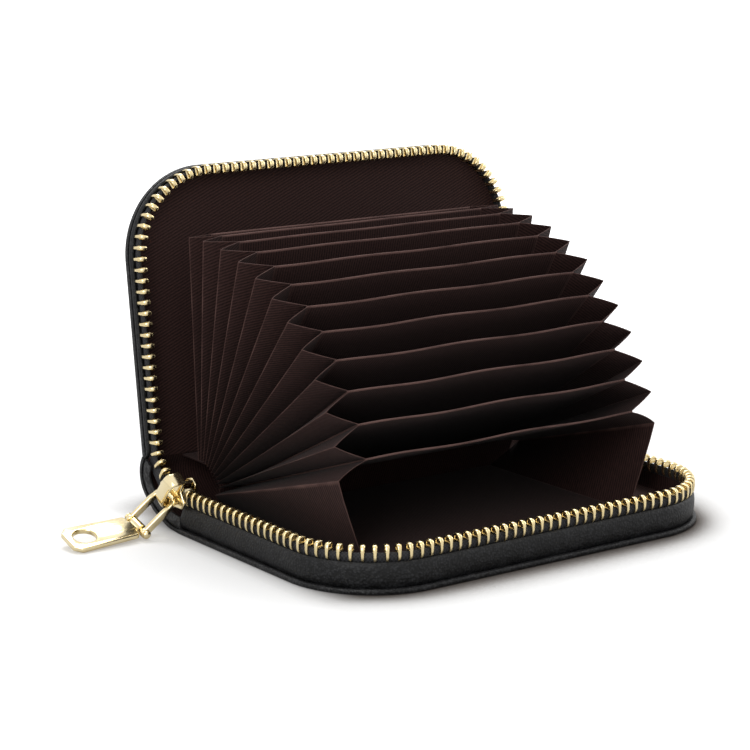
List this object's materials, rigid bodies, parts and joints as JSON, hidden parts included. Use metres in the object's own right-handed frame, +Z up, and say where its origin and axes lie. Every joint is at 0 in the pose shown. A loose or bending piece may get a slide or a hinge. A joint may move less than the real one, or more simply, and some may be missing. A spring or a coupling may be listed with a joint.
{
  "type": "accordion card holder",
  "caption": "Zip-around card holder, standing open: two stiffened leather covers on a soft spine, a fan of fabric pockets with folded gussets, a metal zip with slider, link and tab.",
  "frame": {"origin": "middle of the lower cover's flat underside, on the surface it lies on", "axes": "+X along the spine, away from the zip slider; the pockets open towards -Y; +Z up"},
  "size_m": [0.1417, 0.0956, 0.084],
  "materials": {
    "leather": "pebbled, semi-gloss",
    "board": "matt",
    "lining": "fine twill, matt",
    "tape": "matt",
    "metal": "polished pale gold"
  },
  "bodies": {
    "lower_cover": {"lower_band": "leather", "lower_board": "board", "lower_lining": "lining", "lower_panel": "leather", "lower_zip_tape": "tape", "lower_zip_teeth": "metal", "spine_leather": "leather", "spine_lining": "lining", "pocket_back_strip": "lining", "zip_end_tab_left": "leather", "zip_end_tab_right": "leather", "pocket_wall_12": "lining", "gusset_left_12": "lining", "gusset_right_12": "lining", "zip_end_tape": "tape"},
    "upper_cover": {"upper_band": "leather", "upper_board": "board", "upper_lining": "lining", "upper_panel": "leather", "upper_zip_tape": "tape", "upper_zip_teeth": "metal"},
    "wall_11": {"pocket_wall_11": "lining", "gusset_left_11": "lining", "gusset_right_11": "lining"},
    "wall_10": {"pocket_wall_10": "lining", "gusset_left_10": "lining", "gusset_right_10": "lining"},
    "wall_09": {"pocket_wall_09": "lining", "gusset_left_09": "lining", "gusset_right_09": "lining"},
    "wall_08": {"pocket_wall_08": "lining", "gusset_left_08": "lining", "gusset_right_08": "lining"},
    "wall_07": {"pocket_wall_07": "lining", "gusset_left_07": "lining", "gusset_right_07": "lining"},
    "wall_06": {"pocket_wall_06": "lining", "gusset_left_06": "lining", "gusset_right_06": "lining"},
    "wall_05": {"pocket_wall_05": "lining", "gusset_left_05": "lining", "gusset_right_05": "lining"},
    "wall_04": {"pocket_wall_04": "lining", "gusset_left_04": "lining", "gusset_right_04": "lining"},
    "wall_03": {"pocket_wall_03": "lining", "gusset_left_03": "lining", "gusset_right_03": "lining"},
    "wall_02": {"pocket_wall_02": "lining", "gusset_left_02": "lining", "gusset_right_02": "lining"},
    "wall_01": {"pocket_wall_01": "lining", "gusset_left_01": "lining", "gusset_right_01": "lining"},
    "wall_00": {"pocket_wall_00": "lining"},
    "slider": {"slider_body": "metal", "slider_bridge": "metal"},
    "pull_link": {"pull_link": "metal", "link_pin": "metal"},
    "pull_tab": {"pull_tab": "metal"}
  },
  "joints": [
    {"name": "cover_fold", "type": "hinge", "parent": "lower_cover", "child": "upper_cover", "pos_m": [0, 0.03967, 0.00827], "axis": [-1, 0, 0], "range_deg": [-97.4, 82.6], "deforming": ["gusset_left_01", "gusset_left_02", "gusset_left_03", "gusset_left_04", "gusset_left_05", "gusset_left_06", "gusset_left_07", "gusset_left_08", "gusset_left_09", "gusset_left_10", "gusset_left_11", "gusset_left_12", "gusset_right_01", "gusset_right_02", "gusset_right_03", "gusset_right_04", "gusset_right_05", "gusset_right_06", "gusset_right_07", "gusset_right_08", "gusset_right_09", "gusset_right_10", "gusset_right_11", "gusset_right_12", "spine_leather", "spine_lining", "pocket_back_strip", "zip_end_tab_left", "zip_end_tab_right", "zip_end_tape", "upper_zip_teeth", "upper_zip_tape"]},
    {"name": "wall_11_fold", "type": "hinge", "parent": "lower_cover", "child": "wall_11", "pos_m": [0, 0.05002, 0.0168], "axis": [-1, 0, 0], "range_deg": [-18.55, 15.74]},
    {"name": "wall_10_fold", "type": "hinge", "parent": "wall_11", "child": "wall_10", "pos_m": [0, 0.02905, 0.01092], "axis": [-1, 0, 0], "range_deg": [-7.3, 6.2]},
    {"name": "wall_09_fold", "type": "hinge", "parent": "wall_10", "child": "wall_09", "pos_m": [0, 0.02945, 0.01175], "axis": [-1, 0, 0], "range_deg": [-7.3, 6.2]},
    {"name": "wall_08_fold", "type": "hinge", "parent": "wall_09", "child": "wall_08", "pos_m": [0, 0.02995, 0.01252], "axis": [-1, 0, 0], "range_deg": [-7.3, 6.2]},
    {"name": "wall_07_fold", "type": "hinge", "parent": "wall_08", "child": "wall_07", "pos_m": [0, 0.03055, 0.01322], "axis": [-1, 0, 0], "range_deg": [-7.3, 6.2]},
    {"name": "wall_06_fold", "type": "hinge", "parent": "wall_07", "child": "wall_06", "pos_m": [0, 0.03123, 0.01384], "axis": [-1, 0, 0], "range_deg": [-7.3, 6.2]},
    {"name": "wall_05_fold", "type": "hinge", "parent": "wall_06", "child": "wall_05", "pos_m": [0, 0.03198, 0.01437], "axis": [-1, 0, 0], "range_deg": [-7.3, 6.2]},
    {"name": "wall_04_fold", "type": "hinge", "parent": "wall_05", "child": "wall_04", "pos_m": [0, 0.03279, 0.01481], "axis": [-1, 0, 0], "range_deg": [-7.3, 6.2]},
    {"name": "wall_03_fold", "type": "hinge", "parent": "wall_04", "child": "wall_03", "pos_m": [0, 0.03365, 0.01513], "axis": [-1, 0, 0], "range_deg": [-7.3, 6.2]},
    {"name": "wall_02_fold", "type": "hinge", "parent": "wall_03", "child": "wall_02", "pos_m": [0, 0.03455, 0.01535], "axis": [-1, 0, 0], "range_deg": [-7.3, 6.2]},
    {"name": "wall_01_fold", "type": "hinge", "parent": "wall_02", "child": "wall_01", "pos_m": [0, 0.03546, 0.01545], "axis": [-1, 0, 0], "range_deg": [-7.3, 6.2]},
    {"name": "wall_00_fold", "type": "hinge", "parent": "wall_01", "child": "wall_00", "pos_m": [0, 0.03638, 0.01543], "axis": [-1, 0, 0], "range_deg": [-4.05, 3.44]},
    {"name": "slider_travel", "type": "slide", "parent": "lower_cover", "child": "slider", "axis": [0, -1, 0], "range_m": [0, 0.045], "deforming": ["lower_zip_teeth"]},
    {"name": "link_swing", "type": "hinge", "parent": "slider", "child": "pull_link", "pos_m": [-0.0592, 0.0331, 0.0102], "axis": [0, -0.9588, -0.284], "range_deg": [-60, 38]},
    {"name": "tab_swing", "type": "hinge", "parent": "pull_link", "child": "pull_tab", "pos_m": [-0.06589, 0.03529, 0.00282], "axis": [0, -0.9588, -0.284], "range_deg": [-45, 50]}
  ],
  "couplings": [
    {"joint": "wall_11_fold", "follows": "cover_fold", "ratio": 0.18994},
    {"joint": "wall_10_fold", "follows": "cover_fold", "ratio": 0.074435},
    {"joint": "wall_09_fold", "follows": "cover_fold", "ratio": 0.074435},
    {"joint": "wall_08_fold", "follows": "cover_fold", "ratio": 0.074435},
    {"joint": "wall_07_fold", "follows": "cover_fold", "ratio": 0.074435},
    {"joint": "wall_06_fold", "follows": "cover_fold", "ratio": 0.074435},
    {"joint": "wall_05_fold", "follows": "cover_fold", "ratio": 0.074435},
    {"joint": "wall_04_fold", "follows": "cover_fold", "ratio": 0.074435},
    {"joint": "wall_03_fold", "follows": "cover_fold", "ratio": 0.074435},
    {"joint": "wall_02_fold", "follows": "cover_fold", "ratio": 0.074435},
    {"joint": "wall_01_fold", "follows": "cover_fold", "ratio": 0.074435},
    {"joint": "wall_00_fold", "follows": "cover_fold", "ratio": 0.041068}
  ]
}
